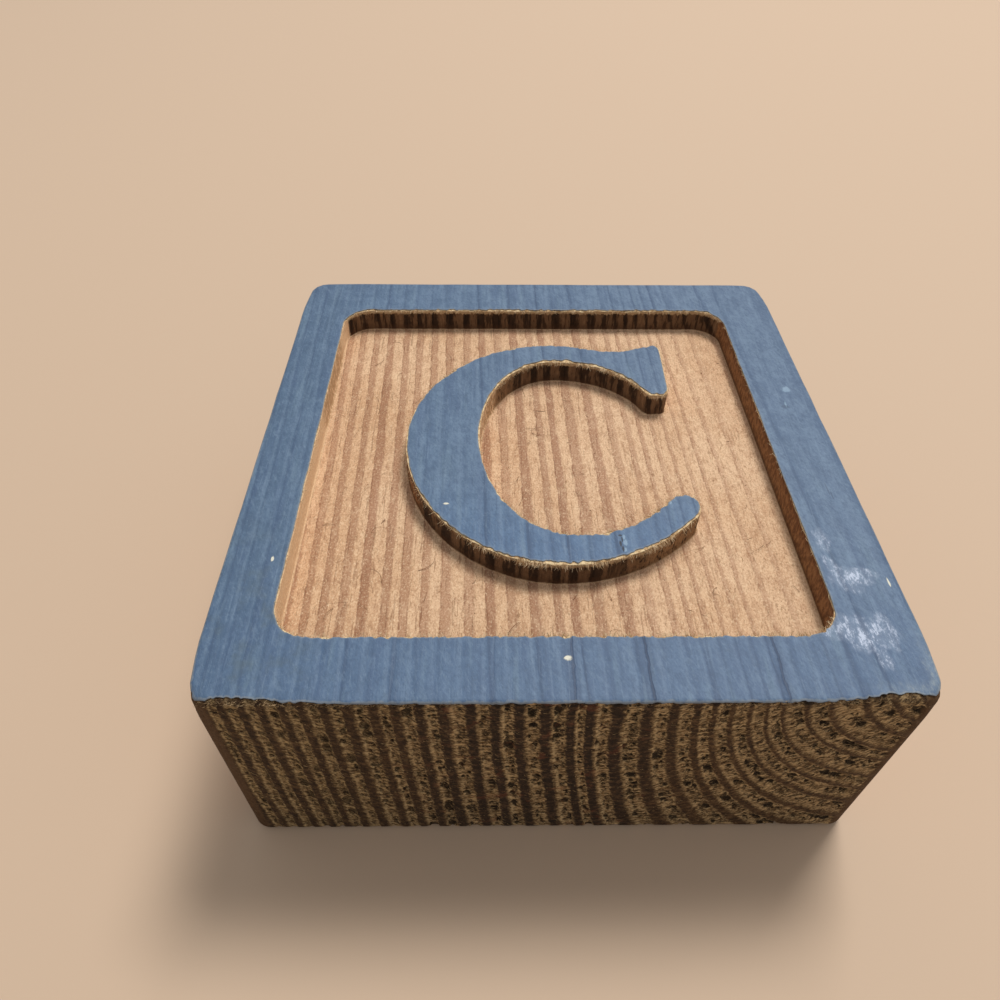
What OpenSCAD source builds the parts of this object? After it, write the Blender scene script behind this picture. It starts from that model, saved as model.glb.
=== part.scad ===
// Alphabet block: one sawn piece of softwood with a routed recess that leaves
// a raised border and a raised capital letter, and paint on the raised tops.
// The base lies on Z = 0, the grain runs along Y and the letter reads from -Y.

/* [Block] */
// Width of the block across the grain
block_w = 89; // [80:0.1:120]
// Length of the block along the grain
block_d = 92.1; // [80:0.1:120]
// Thickness of the block, paint included
block_t = 38; // [20:1:60]
// Radius of the four upright corners
corner_r = 2.8; // [2:0.1:6]
// Radius of the sanded edges round the top and the base
arris_r = 1.2; // [0.9:0.1:1.8]

/* [Recess] */
// Rim left of the recess
rim_left = 8.3; // [5:0.1:11]
// Rim right of the recess
rim_right = 9.9; // [5:0.1:11]
// Rim before the recess
rim_front = 9.1; // [5:0.1:11]
// Rim behind the recess
rim_back = 9.8; // [5:0.1:11]
// Depth of the recess below the painted top
recess_t = 4.1; // [2:0.1:8]
// Radius that the cutter leaves in the corners of the recess
recess_r = 4.8; // [3:0.1:6]

/* [Letter] */
// Width of the raised letter
letter_w = 43.6; // [30:0.1:54]
// Height of the raised letter, along the grain
letter_h = 50.9; // [35:0.1:54]

/* [Paint] */
// Thickness of the coat of paint
coat_t = 0.15; // [0.1:0.01:0.3]
// How far the paint runs down the sanded top edge
coat_drop = 0.6; // [0.3:0.05:0.6]

/* [Hidden] */

// Smoothness of round shapes
$fn = 96;
// Distance between points along the letter's curves, as a share of its height
curve_step_share = 0.017;
// How far a cutting shape runs past the face that it cuts
overrun = 1;

curve_step = curve_step_share * letter_h;
wood_t = block_t - coat_t;
recess_w = block_w - rim_left - rim_right;
recess_d = block_d - rim_front - rim_back;
recess_x = (rim_left - rim_right) / 2;
recess_y = (rim_front - rim_back) / 2;
floor_z = block_t - recess_t;

// Bezier chain round the letter, anticlockwise from the tip of the upper serif.
// Every third point is on the outline and the two between are its handles.
// X is a share of the letter's width and Y of its height, from the recess's middle.
letter_shares = [
    [0.483, 0.499], [0.440, 0.492], [0.388, 0.464],
    [0.319, 0.461], [0.251, 0.461], [0.160, 0.496],
    [0.049, 0.496], [-0.244, 0.496], [-0.492, 0.274],
    [-0.492, 0.008], [-0.492, -0.274], [-0.251, -0.502],
    [0.042, -0.502], [0.213, -0.502], [0.356, -0.438],
    [0.465, -0.348], [0.490, -0.331], [0.505, -0.313],
    [0.506, -0.290], [0.506, -0.262], [0.485, -0.242],
    [0.458, -0.242], [0.433, -0.242], [0.415, -0.254],
    [0.399, -0.270], [0.326, -0.339], [0.224, -0.394],
    [0.097, -0.394], [-0.108, -0.394], [-0.226, -0.190],
    [-0.226, 0.014], [-0.226, 0.234], [-0.099, 0.397],
    [0.069, 0.397], [0.201, 0.397], [0.315, 0.347],
    [0.381, 0.268], [0.394, 0.252], [0.406, 0.216],
    [0.426, 0.212], [0.442, 0.211], [0.463, 0.212],
    [0.478, 0.214], [0.492, 0.218], [0.498, 0.230],
    [0.500, 0.246], [0.503, 0.319], [0.507, 0.393],
    [0.508, 0.470], [0.508, 0.488], [0.501, 0.499],
];

function bezier(a, b, c, d, t) =
    a * pow(1 - t, 3) + 3 * b * t * pow(1 - t, 2) + 3 * c * t * t * (1 - t) + d * pow(t, 3);

// Points along a closed chain of Bezier curves, about curve_step apart
function chain(points) = [
    for (start = [0 : 3 : len(points) - 1])
        let (end = points[(start + 3) % len(points)])
            let (steps = ceil(norm(end - points[start]) / curve_step))
                for (step = [0 : steps - 1])
                    bezier(points[start], points[start + 1], points[start + 2], end, step / steps)
];

// Rectangle with round corners, centred
module round_plate(w, d, r) {
    square([w - 2 * r, d], center = true);
    square([w, d - 2 * r], center = true);
    for (sx = [-1, 1], sy = [-1, 1])
        translate([sx * (w / 2 - r), sy * (d / 2 - r)])
            circle(r);
}

// Block with upright corners of corner_r and top and base edges of arris_r
module sanded_block(height) {
    mid_z = height / 2;
    run_w = block_w - 2 * corner_r;
    run_d = block_d - 2 * corner_r;
    translate([0, 0, mid_z]) {
        rotate([90, 0, 0])
            linear_extrude(run_d, center = true)
                round_plate(block_w, height, arris_r);
        rotate([90, 0, 90])
            linear_extrude(run_w, center = true)
                round_plate(block_d, height, arris_r);
        for (sx = [-1, 1], sy = [-1, 1])
            translate([sx * run_w / 2, sy * run_d / 2])
                rotate_extrude()
                    intersection() {
                        round_plate(2 * corner_r, height, arris_r);
                        translate([0, -height])
                            square([corner_r + overrun, 2 * height]);
                    }
    }
}

// Flat shape of the raised letter
module letter_face() {
    translate([recess_x, recess_y])
        polygon(chain([for (share = letter_shares) [share.x * letter_w, share.y * letter_h]]));
}

// Space that the cutter takes out round the letter
module recess_cut() {
    translate([0, 0, floor_z])
        linear_extrude(recess_t + overrun)
            difference() {
                translate([recess_x, recess_y])
                    round_plate(recess_w, recess_d, recess_r);
                letter_face();
            }
}

module block_body() {
    color("burlywood")
        difference() {
            sanded_block(wood_t);
            recess_cut();
        }
}

// Coat over the border, down onto the sanded edge and no further
module border_paint() {
    color("steelblue")
        difference() {
            sanded_block(block_t);
            sanded_block(wood_t);
            translate([0, 0, -overrun])
                linear_extrude(block_t - coat_drop + overrun)
                    square([block_w + 2 * overrun, block_d + 2 * overrun], center = true);
            translate([recess_x, recess_y, floor_z])
                linear_extrude(recess_t + overrun)
                    round_plate(recess_w, recess_d, recess_r);
        }
}

module letter_paint() {
    color("steelblue")
        translate([0, 0, wood_t])
            linear_extrude(coat_t)
                letter_face();
}

block_body();
border_paint();
letter_paint();
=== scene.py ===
# %% [markdown]
# # A painted alphabet block
#
# The real thing is one sawn piece of softwood. Its top was painted, and then a router
# cut a flat recess through the paint, which left a raised border and a raised letter.
# All its character lies in that order of work: the paint has a sharp, frayed edge where
# the cutter went through it, the walls below are raw end grain, and the sawn ends are
# dark and full of pits.
#
# The CAD model gives exact sizes and flat faces. This script opens it as a fixed frame,
# reads its outlines, and dresses it with wood and paint that have relief of their own.

# %% Open the frame
import math

import bpy
import numpy as np
from mathutils import Matrix, Vector
from mathutils.geometry import delaunay_2d_cdt


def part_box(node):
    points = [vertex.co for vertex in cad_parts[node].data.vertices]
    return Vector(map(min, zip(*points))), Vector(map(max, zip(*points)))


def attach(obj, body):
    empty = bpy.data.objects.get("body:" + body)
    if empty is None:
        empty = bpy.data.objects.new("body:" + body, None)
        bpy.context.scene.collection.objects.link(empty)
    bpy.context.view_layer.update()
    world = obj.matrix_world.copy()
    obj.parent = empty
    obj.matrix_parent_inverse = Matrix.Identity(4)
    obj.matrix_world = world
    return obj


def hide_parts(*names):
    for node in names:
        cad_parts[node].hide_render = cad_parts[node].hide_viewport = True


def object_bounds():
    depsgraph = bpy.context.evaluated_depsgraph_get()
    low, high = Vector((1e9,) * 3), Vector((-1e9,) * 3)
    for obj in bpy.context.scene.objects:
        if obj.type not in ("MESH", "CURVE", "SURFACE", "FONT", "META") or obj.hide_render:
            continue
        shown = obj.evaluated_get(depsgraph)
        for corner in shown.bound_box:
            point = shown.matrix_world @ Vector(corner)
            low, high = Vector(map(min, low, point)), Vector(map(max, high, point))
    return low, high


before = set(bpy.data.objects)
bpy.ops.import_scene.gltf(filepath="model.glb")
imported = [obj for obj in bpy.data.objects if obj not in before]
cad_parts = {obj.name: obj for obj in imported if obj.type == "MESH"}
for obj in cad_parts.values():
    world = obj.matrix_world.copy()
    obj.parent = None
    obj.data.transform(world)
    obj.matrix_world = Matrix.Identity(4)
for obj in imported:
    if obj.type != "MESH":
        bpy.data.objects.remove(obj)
cad_low, cad_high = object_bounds()
print("CAD box in metres:", tuple(cad_low), tuple(cad_high))

# %% [markdown]
# Wood is easier to think about in millimetres, so every step below works in them, and
# only the last line of each mesh turns them into Blender's metres. The sizes are
# measured on the CAD nodes, so nothing is typed twice.

# %% Sizes read from the CAD nodes
MM = 1000.0
body_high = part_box("block_body")[1]
HALF_W = cad_high.x * MM
HALF_D = cad_high.y * MM
TOP = cad_high.z * MM
WOOD_TOP = body_high.z * MM
COAT = TOP - WOOD_TOP
print(f"block {2 * HALF_W:.1f} x {2 * HALF_D:.1f} x {TOP:.1f} mm, coat {COAT:.2f} mm")

# %% [markdown]
# ## Outlines
#
# A CAD mesh is loose triangles. The triangles of one flat face share their inner sides
# in pairs, so the sides that are left over are the face's outline. Chained end to end
# they give closed loops: the base, the recess and the letter.

# %% Read the outlines of a flat face
SAME_LEVEL = 0.004


def flat_outlines(node, height):
    """Closed outlines, in mm, of a CAD node's flat faces at one height, longest first."""
    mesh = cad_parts[node].data
    points = np.empty(len(mesh.vertices) * 3)
    mesh.vertices.foreach_get("co", points)
    points = np.round(points.reshape(-1, 3) * MM, 3)
    mesh.calc_loop_triangles()
    corners = np.empty(len(mesh.loop_triangles) * 3, np.int32)
    mesh.loop_triangles.foreach_get("vertices", corners)
    triangles = points[corners].reshape(-1, 3, 3)
    level = np.abs(triangles[:, :, 2] - height).max(axis=1) < SAME_LEVEL
    follow = {}
    for triangle in triangles[level]:
        keys = [tuple(corner[:2]) for corner in triangle]
        for start, end in zip(keys, keys[1:] + keys[:1]):
            if start == end:
                continue
            if follow.get(end, {}).pop(start, None) is None:
                follow.setdefault(start, {})[end] = True
    outlines = []
    while any(follow.values()):
        start = next(key for key, ends in follow.items() if ends)
        loop = [start]
        here = start
        while follow.get(here):
            here = follow[here].popitem()[0]
            if here == start:
                break
            loop.append(here)
        if len(loop) > 3:
            outlines.append(np.array(loop))
    return sorted(outlines, key=loop_length, reverse=True)


def loop_length(loop):
    return np.hypot(*(np.roll(loop, -1, axis=0) - loop).T).sum()


def loop_area(loop):
    ahead = np.roll(loop, -1, axis=0)
    return (loop[:, 0] * ahead[:, 1] - loop[:, 1] * ahead[:, 0]).sum() / 2


# %% [markdown]
# A routed edge is a smooth curve, so each outline is walked in small even steps and
# slightly smoothed, which rounds the CAD's short straight sides. The spacing may vary
# along the way: the sawn ends need fine columns of points, the plain sides do not.

# %% Walk an outline in even steps
FINE_STEP = 0.1
SOFTEN = 0.12


def walk(outline, spacing):
    """Points along a closed outline, anticlockwise, and their outward normals."""
    if loop_area(outline) < 0:
        outline = outline[::-1]
    closed = np.vstack([outline, outline[:1]])
    run = np.concatenate([[0], np.cumsum(np.hypot(*np.diff(closed, axis=0).T))])
    count = int(run[-1] / FINE_STEP)
    at = np.arange(count) * run[-1] / count
    fine = np.stack([np.interp(at, run, closed[:, k]) for k in (0, 1)], axis=1)
    waves = np.fft.fftfreq(count, run[-1] / count)
    keep = np.exp(-2 * (np.pi * waves * SOFTEN) ** 2)
    fine = np.stack([np.fft.ifft(np.fft.fft(fine[:, k]) * keep).real for k in (0, 1)], axis=1)
    step = spacing(fine) if callable(spacing) else np.full(count, float(spacing))
    pace = np.concatenate([[0], np.cumsum(run[-1] / count / step)])
    points = int(round(pace[-1]))
    at = np.arange(points) * pace[-1] / points
    fine = np.vstack([fine, fine[:1]])
    loop = np.stack([np.interp(at, pace, fine[:, k]) for k in (0, 1)], axis=1)
    along = np.roll(loop, -1, axis=0) - np.roll(loop, 1, axis=0)
    along /= np.hypot(*along.T)[:, None]
    return loop, np.stack([along[:, 1], -along[:, 0]], axis=1)


base_outline = flat_outlines("block_body", 0.0)[0]
ARRIS = HALF_W - base_outline[:, 0].max()
letter_outline = flat_outlines("letter_paint", TOP)[0]
recess_outline = flat_outlines("border_paint", TOP)[1]
levels = {round(corner.co.z * MM, 2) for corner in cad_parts["block_body"].data.vertices}
WELL_BELOW_TOP = WOOD_TOP - 2
FLOOR = max(level for level in levels if level < WELL_BELOW_TOP)
print(f"recess {loop_length(recess_outline):.0f} mm round, letter {loop_length(letter_outline):.0f} mm, "
      f"floor at {FLOOR:.2f} mm, arris {ARRIS:.2f} mm")

# %% [markdown]
# ## Repeatable roughness
#
# Nothing on a sawn block is quite even. This noise takes its values from a whole-number
# lattice by plain arithmetic, so it needs no random state and gives the same wood each
# time. A size of three numbers stretches it, which is what grain needs.

# %% Value noise
def lattice(x, y, z, seed):
    mixed = (x * 374761393 + y * 668265263 + z * 2147483647 + seed * 1274126177) & 0xFFFFFFFF
    mixed = ((mixed ^ (mixed >> 13)) * 1274126177) & 0xFFFFFFFF
    return ((mixed ^ (mixed >> 16)) & 0xFFFF) / 65535


def noise(points, size, seed):
    """Smooth noise from -1 to 1 with features of the given size in mm."""
    cell = points / np.asarray(size, float)
    base = np.floor(cell).astype(np.int64)
    part = cell - base
    part = part * part * (3 - 2 * part)
    total = np.zeros(len(points))
    for corner in np.ndindex(2, 2, 2):
        share = np.prod(np.where(corner, part, 1 - part), axis=1)
        total += share * lattice(*(base + corner).T, seed)
    return 2 * total - 1


def ease(values, start, end):
    """Smooth step from 0 at start to 1 at end."""
    part = np.clip((values - start) / (end - start), 0, 1)
    return part * part * (3 - 2 * part)


def flat(points, height=0.0):
    """Plan points as points in space at one height."""
    return np.column_stack([points, np.full(len(points), height)])


print("noise at the letter's tip:", noise(flat(letter_outline[:1]), 3, 1).round(3))

# %% [markdown]
# ## Growth rings
#
# The board was sawn beside the heart of the tree: on the front end the rings are tight
# arcs round a point just outside the upper right corner, and they flatten to upright
# lines on the left. One number per point, the ring's index, describes all of that. The
# widths were read off the end grain on the photograph, from the heart out.
# Because the wood is one piece, the same numbers then colour the ends, the recess floor
# and the walls, and the bands meet at every edge.

# %% Ring index of any point in the wood
RING_WIDTHS = [
    2.6, 2.9, 3.1, 3.1, 4.1, 2.8, 2.7, 1.8, 1.9, 2.1, 2.1, 2.0,
    2.7, 3.2, 3.7, 3.1, 2.0, 3.3, 3.1, 2.9, 2.8, 3.4, 2.7, 2.9,
    2.4, 3.2, 2.6, 2.6, 2.2, 2.6, 2.2, 2.3, 2.0, 2.4, 2.6, 2.5,
]
RULER = 0.991
HEART_X = 46.03
HEART_ABOVE_TOP = 2.5
HEART_DRIFT = -0.029
ROUND_WITHIN = 19.0
FLATTENING = 0.045
SETTLING_ROUNDS = 14
WAVINESS = 0.22


def ring_index(points):
    """Which growth ring each point lies in, with a whole number at each dark band's middle."""
    edges = np.concatenate([[0], np.cumsum(RING_WIDTHS)]) * RULER
    across = points[:, 0] - HEART_X - HEART_DRIFT * (points[:, 1] + HALF_D)
    across = across + WAVINESS * noise(points, (14, 30, 14), 3)
    up = points[:, 2] - TOP - HEART_ABOVE_TOP
    radius = np.hypot(across, up)
    for _ in range(SETTLING_ROUNDS):
        flattened = 1 + FLATTENING * np.maximum(radius - ROUND_WITHIN, 0)
        radius = 0.5 * radius + 0.5 * np.hypot(across, up / flattened)
    return np.interp(radius, edges, np.arange(len(edges)))


SHARP_SIDE = 0.20


def late_share(ring):
    """1 in the hard dark late wood of a ring and 0 in its soft early wood, with one sharp side."""
    phase = np.mod(ring - SHARP_SIDE, 1)
    begin = 0.46 + 0.18 * ease(ring, 14, 7)
    return ease(phase, begin, begin + 0.16) * (1 - ease(phase, 0.94, 1.0))


front = np.array([[x, -HALF_D, TOP - 5] for x in (-40, 0, 40)])
print("ring index across the front:", ring_index(front).round(1))

# %% [markdown]
# ## The wood as one skin
#
# The block's surface is built from two kinds of patch. Bands follow an outline, row by
# row: round the outside from the top over the worn edge down to the base, and round the
# recess and the letter from the top down the routed wall to the floor. Fills close the
# flat parts between bands with a triangulated grid. They share their rings of points,
# so the result is one closed mesh.
#
# Remeshing the CAD solid with small voxels would be shorter, but it would spend most of
# its triangles under the paint and on the base, where nobody looks.

# %% A skin that collects points and faces
class Skin:
    """Points with a push direction and a kind, and the faces between them."""

    def __init__(self):
        self.points = []
        self.push = []
        self.kind = []
        self.brink = []
        self.faces = []
        self.count = 0

    def row(self, points, push, kind, brink=0.0):
        """Adds points and returns their numbers; brink is 1 at a torn edge."""
        self.points.append(points)
        self.push.append(np.broadcast_to(push, points.shape))
        self.kind.append(np.full(len(points), kind))
        self.brink.append(np.full(len(points), brink))
        self.count += len(points)
        return np.arange(self.count - len(points), self.count)

    def band(self, rows, outward):
        """Quads between rows of equal length that close round an outline."""
        for upper, lower in zip(rows, rows[1:]):
            sides = [upper, lower, np.roll(lower, -1), np.roll(upper, -1)]
            if not outward:
                sides.reverse()
            self.faces.extend(np.stack(sides, axis=1).tolist())

    def fill(self, rings, grid, height, push, kind, up=True):
        """Triangles between an outer ring and the rings inside it, over a grid."""
        known = np.concatenate(self.points)
        inner = self.row(flat(grid, height), push, kind)
        known = np.concatenate([known, flat(grid, height)])
        numbers = np.concatenate(rings + [inner])
        plan = [Vector(point) for point in known[numbers, :2]]
        sides = []
        start = 0
        for ring in rings:
            stop = start + len(ring)
            sides += [(k, k + 1 if k + 1 < stop else start) for k in range(start, stop)]
            start = stop
        _, _, triangles, origins, _, _ = delaunay_2d_cdt(plan, sides, [], 0, 1e-6)
        first = np.array([origin[0] if origin else -1 for origin in origins])
        corners = numbers[first[np.array(triangles)]]
        middles = known[corners][:, :, :2].mean(axis=1)
        corners = corners[inside(middles, [known[ring, :2] for ring in rings])]
        self.faces.extend((corners if up else corners[:, ::-1]).tolist())


PAIRS_AT_ONCE = 4000000


def portions(points, loop):
    """Numbers of the points, in portions small enough to compare with a whole loop."""
    return np.array_split(np.arange(len(points)), 1 + len(points) * len(loop) // PAIRS_AT_ONCE)


def inside(points, loops):
    """True where a plan point lies within an odd number of loops."""
    crossings = np.zeros(len(points), int)
    for loop in loops:
        ahead = np.roll(loop, -1, axis=0)
        for part in portions(points, loop):
            x, y = points[part].T[:, :, None]
            spans = (loop[:, 1] > y) != (ahead[:, 1] > y)
            rise = np.where(ahead[:, 1] == loop[:, 1], 1, ahead[:, 1] - loop[:, 1])
            reach = loop[:, 0] + (y - loop[:, 1]) * (ahead[:, 0] - loop[:, 0]) / rise
            crossings[part] += (spans & (x < reach)).sum(axis=1)
    return crossings % 2 == 1


def grid_inside(outer, holes, step_x, step_y):
    """Staggered grid of plan points inside one loop and outside others."""
    low, high = outer.min(axis=0), outer.max(axis=0)
    xs = np.arange(low[0], high[0], step_x)
    ys = np.arange(low[1], high[1], step_y)
    x, y = np.meshgrid(xs, ys)
    x = x + step_x / 2 * (np.arange(len(ys)) % 2)[:, None]
    points = np.column_stack([x.ravel(), y.ravel()])
    return points[inside(points, [outer] + holes)]


wood = Skin()
DOWN, UP = (0, 0, -1), (0, 0, 1)
print("an empty skin has", wood.count, "points")

# %% [markdown]
# ### The outside
#
# Sanding rounded the block's edges, and handling wore them on unevenly, most at the two
# front corners. So the radius of the rounding changes along the way. Near the sides'
# ends the worn edge also reaches a little further in, while the block keeps its full
# width lower down.
#
# Each kind of surface gets a number, because saw cuts, router cuts and sanded sides are
# roughened in different ways later on.

# %% Rounded and worn outer edge
OUTSIDE, WALL, RECESS, TOPS, BASE = range(5)
FLAT_EDGE = 2.1
DRAWN_IN = 0.42
SIDE_STEP, BACK_STEP, FRONT_STEP, END_REACH = 2.4, 0.85, 0.3, 3
LEAST_WEAR, MOST_WEAR = 0.4, 1.7


def outer_spacing(points):
    """Fine steps on the front end, coarser on the back and along the sides."""
    step = np.full(len(points), SIDE_STEP)
    step[points[:, 1] > HALF_D - END_REACH] = BACK_STEP
    step[points[:, 1] < END_REACH - HALF_D] = FRONT_STEP
    return step


def wear(loop):
    """Radius of the worn top edge at each point of the outline."""
    x = loop[:, 0]
    at_front = ease(-loop[:, 1], HALF_D - 3, HALF_D - 1.5)
    corner = ease(np.abs(x), HALF_W - 6, HALF_W) * ease(np.abs(loop[:, 1]), HALF_D - 6, HALF_D)
    radius = 0.52 + 0.10 * noise(flat(loop), 5, 11) + 0.30 * corner
    radius += at_front * (0.35 * ease(x, 22, 36) + 0.30 * ease(x, 32, 38) + 0.55 * ease(-x, 25, 39))
    return np.clip(radius, LEAST_WEAR, MOST_WEAR)


def drawn_in(loop):
    """The top's outline, a little narrower near the sides' ends, where sanding took most."""
    near_end = ease(np.abs(loop[:, 1]), HALF_D - 9, HALF_D - 2)
    near_side = ease(np.abs(loop[:, 0]), HALF_W - 8, HALF_W - 1)
    turn = ease(-loop[:, 1], HALF_D - 3, HALF_D - 0.5)
    narrower = DRAWN_IN * near_end * near_side * (1 - 0.6 * turn)
    return loop - np.column_stack([np.sign(loop[:, 0]) * narrower, 0 * narrower])


def edge_profile(radius, angle, top):
    """Inset and height on the rounded edge at an angle from 0, flat, to 90, upright."""
    return radius * (1 - math.sin(math.radians(angle))), top - radius * (1 - math.cos(math.radians(angle)))


outer_step = walk(base_outline, outer_spacing)
outer_normal = outer_step[1]
full_loop = outer_step[0] + ARRIS * outer_normal
outer_loop = drawn_in(full_loop)
worn = wear(outer_loop)
print(len(outer_loop), "columns; edge radius", worn.min().round(2), "to", worn.max().round(2), "mm")

# %% Band round the outside
UPPER_PART = 0.72
UPPER_ROWS, LOWER_ROWS = 84, 22


def outer_row(inset, height, kind=OUTSIDE):
    """One ring of the outside, with its push direction into the wood."""
    heights = np.broadcast_to(height, len(outer_loop))
    full = 1 - ease(heights, TOP - 6, TOP - 1)[:, None]
    points = outer_loop + full * (full_loop - outer_loop) - np.reshape(inset, (-1, 1)) * outer_normal
    return wood.row(np.column_stack([points, heights]), np.column_stack([-outer_normal, 0 * worn]), kind)


upper = np.linspace(0, UPPER_PART, UPPER_ROWS)
lower = np.linspace(UPPER_PART, 1, LOWER_ROWS)[1:]
rows = [outer_row(np.full(len(worn), FLAT_EDGE), WOOD_TOP, TOPS)]
for angle in (0, 18, 36, 54, 72):
    rows.append(outer_row(*edge_profile(worn, angle, WOOD_TOP)))
for share in np.concatenate([upper, lower]):
    rows.append(outer_row(0 * worn, (WOOD_TOP - worn) * (1 - share) + ARRIS * share))
for angle in (67, 45, 22, 0):
    inset, drop = edge_profile(ARRIS, angle, 0)
    rows.append(outer_row(np.full(len(worn), inset), -drop))
wood.band(rows, outward=True)
rim_ring, base_ring = rows[0], rows[-1]
print("outside band:", len(rows), "rows")

# %% [markdown]
# ### Routed walls
#
# The cutter left an upright wall, a small rounding at the foot and a broken edge at the
# top. Wall points are pushed into the wood that stands behind them: outwards round the
# recess, inwards on the letter.

# %% Bands down the routed walls
BRINK_BACKS = (0.95, 0.55, 0.3, 0.12)
BROKEN_EDGE = (0.02, 0.05)
WALL_BELOW_BRINK, WALL_ABOVE_FOOT, WALL_STEPS = 0.25, 0.5, 10
FOOT_PROFILE = [(0.0, 0.22, WALL), (-0.05, 0.08, WALL), (-0.2, 0.0, RECESS), (-0.5, 0.0, RECESS)]
WALL_SPACING = 0.4


def wall_band(loop, away, outward):
    """A wall from the top down to the floor; away points from the open recess into the wood."""
    rows = []

    def add(back, height, kind):
        points = np.column_stack([loop + back * away, np.full(len(loop), height)])
        push = np.column_stack([away, 0 * away[:, 0]]) if kind == WALL else DOWN
        brink = ease(height - max(back, 0), WOOD_TOP - 0.9, WOOD_TOP)
        rows.append(wood.row(points, push, kind, brink))

    for back in BRINK_BACKS:
        add(back, WOOD_TOP, TOPS)
    back, drop = BROKEN_EDGE
    add(back, WOOD_TOP - drop, WALL)
    high, low = WOOD_TOP - WALL_BELOW_BRINK, FLOOR + WALL_ABOVE_FOOT
    for share in np.linspace(0, 1, WALL_STEPS, endpoint=False):
        add(0.0, high + (low - high) * share, WALL)
    for back, rise, kind in FOOT_PROFILE:
        add(back, FLOOR + rise, kind)
    wood.band(rows, outward=outward)
    return rows[0], rows[-1]


recess_loop, recess_normal = walk(recess_outline, WALL_SPACING)
letter_loop, letter_normal = walk(letter_outline, WALL_SPACING)
recess_top, recess_foot = wall_band(recess_loop, recess_normal, outward=False)
letter_top, letter_foot = wall_band(letter_loop, -letter_normal, outward=True)
print("walls:", len(recess_loop), "and", len(letter_loop), "columns")

# %% [markdown]
# ### Flat parts
#
# The recess floor is seen close up, so its grid is fine. Under the paint and on the
# base a coarse grid is enough.

# %% Fill the flat parts
def fill_flat(outer, holes, clearance, steps, height, kind):
    """Fills a flat part; outer and holes are rings with their normals, steps the grid's."""
    known = np.concatenate(wood.points)[:, :2]
    border = known[outer[0]] - clearance * outer[1]
    gaps = [known[ring] + clearance * normal for ring, normal in holes]
    grid = grid_inside(border, gaps, *steps)
    rings = [outer[0]] + [ring for ring, _ in holes]
    wood.fill(rings, grid, height, UP if kind == BASE else DOWN, kind, up=kind != BASE)


fill_flat((recess_foot, recess_normal), [(letter_foot, letter_normal)], 0.3, (0.48, 0.6), FLOOR, RECESS)
fill_flat((rim_ring, outer_normal), [(recess_top, recess_normal)], 0.6, (1.6, 2.0), WOOD_TOP, TOPS)
fill_flat((letter_top, letter_normal), [], 0.5, (1.6, 2.0), WOOD_TOP, TOPS)
fill_flat((base_ring, outer_normal), [], 1.0, (2.2, 2.6), 0.0, BASE)
print("wood skin:", wood.count, "points,", len(wood.faces), "faces")

# %% [markdown]
# ### Relief
#
# Every point is now pushed into the wood by a depth that depends on how its surface was
# cut, and never outwards, so the block keeps its size.
#
# * A sawn end tears the soft early wood: it sinks, gets pits and frays, while the hard
#   late wood stays as smooth ribs.
# * A router leaves walls with upright ribs and a floor with a short nap.
# * The sanded sides only show fine grooves along the grain.

# %% Pits torn out of the end grain
def pits(x, z, cell_x, cell_z, chance, seed):
    """1 in the middle of a pit and 0 outside, for pits scattered one to a cell."""
    deepest = np.zeros(len(x))
    home_x = np.floor(x / cell_x).astype(np.int64)
    home_z = np.floor(z / cell_z).astype(np.int64)
    for step_x, step_z in np.ndindex(3, 3):
        cx, cz = home_x + step_x - 1, home_z + step_z - 1
        there = lattice(cx, cz, 0 * cx, seed) < chance
        mid_x = (cx + 0.2 + 0.6 * lattice(cx, cz, 0 * cx + 1, seed)) * cell_x
        mid_z = (cz + 0.2 + 0.6 * lattice(cx, cz, 0 * cx + 2, seed)) * cell_z
        size = 0.22 + 0.3 * lattice(cx, cz, 0 * cx + 3, seed)
        far = np.hypot((x - mid_x) / (size * cell_x), (z - mid_z) / (size * cell_z))
        deepest = np.maximum(deepest, there * ease(1 - far, 0, 0.7))
    return deepest


# %% Where each point of the skin lies
points = np.concatenate(wood.points)
push = np.concatenate(wood.push).astype(float)
kind = np.concatenate(wood.kind)
brink = np.concatenate(wood.brink)
ring = ring_index(points)
late = late_share(ring + 0.07 * noise(points, (0.7, 1.5, 0.9), 20))
early = 1 - late
facing_end = np.abs(push[:, 1])
handled = ease(np.abs(points[:, 0]), HALF_W - 3.4, HALF_W - 1.9)
handled = handled * ease(np.abs(points[:, 1]), HALF_D - 6, HALF_D - 2)
fuzz = noise(points, 0.55, 21)
fine_fuzz = noise(points, (0.5, 0.9, 0.32), 22)
print(f"late wood {late.mean():.0%}, handled {np.mean(handled > 0.5):.1%} of the points")

# %% Relief of the outside
bent = points + 0.25 * np.stack([noise(points, 0.7, seed) for seed in (7, 8, 9)], axis=1)
phase = np.mod(ring - SHARP_SIDE, 1)
open_wood = ease(phase, 0.0, 0.06) * (1 - ease(phase, 0.34, 0.50))
clusters = ease(noise(points, (7, 7, 5), 10), -0.7, 0.5)
small_pits = pits(bent[:, 0], bent[:, 2], 0.95, 1.25, 0.62, 5) * (0.35 + 0.65 * clusters)
large_pits = pits(bent[:, 0], bent[:, 2], 2.3, 2.8, 0.42, 6)
holes = np.maximum(small_pits, large_pits) * open_wood
ridge = ease(phase, 0.34, 0.42) * (1 - ease(phase, 0.46, 0.56))
sawn_depth = 0.09 + early * (0.10 + 0.07 * fuzz + 0.06 * fine_fuzz) + 0.40 * holes - 0.07 * ridge
sawn_depth += 0.03 * noise(points, (2.0, 1, 0.45), 23) + 0.012 * late * fine_fuzz
sawn_depth = sawn_depth * (1 - handled) + 0.04 * handled
side_depth = 0.05 + 0.02 * noise(points, (0.5, 9, 0.5), 24) + 0.02 * noise(points, (2, 6, 2), 25)
sawn_share = ease(facing_end, 0.35, 0.85)
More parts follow.
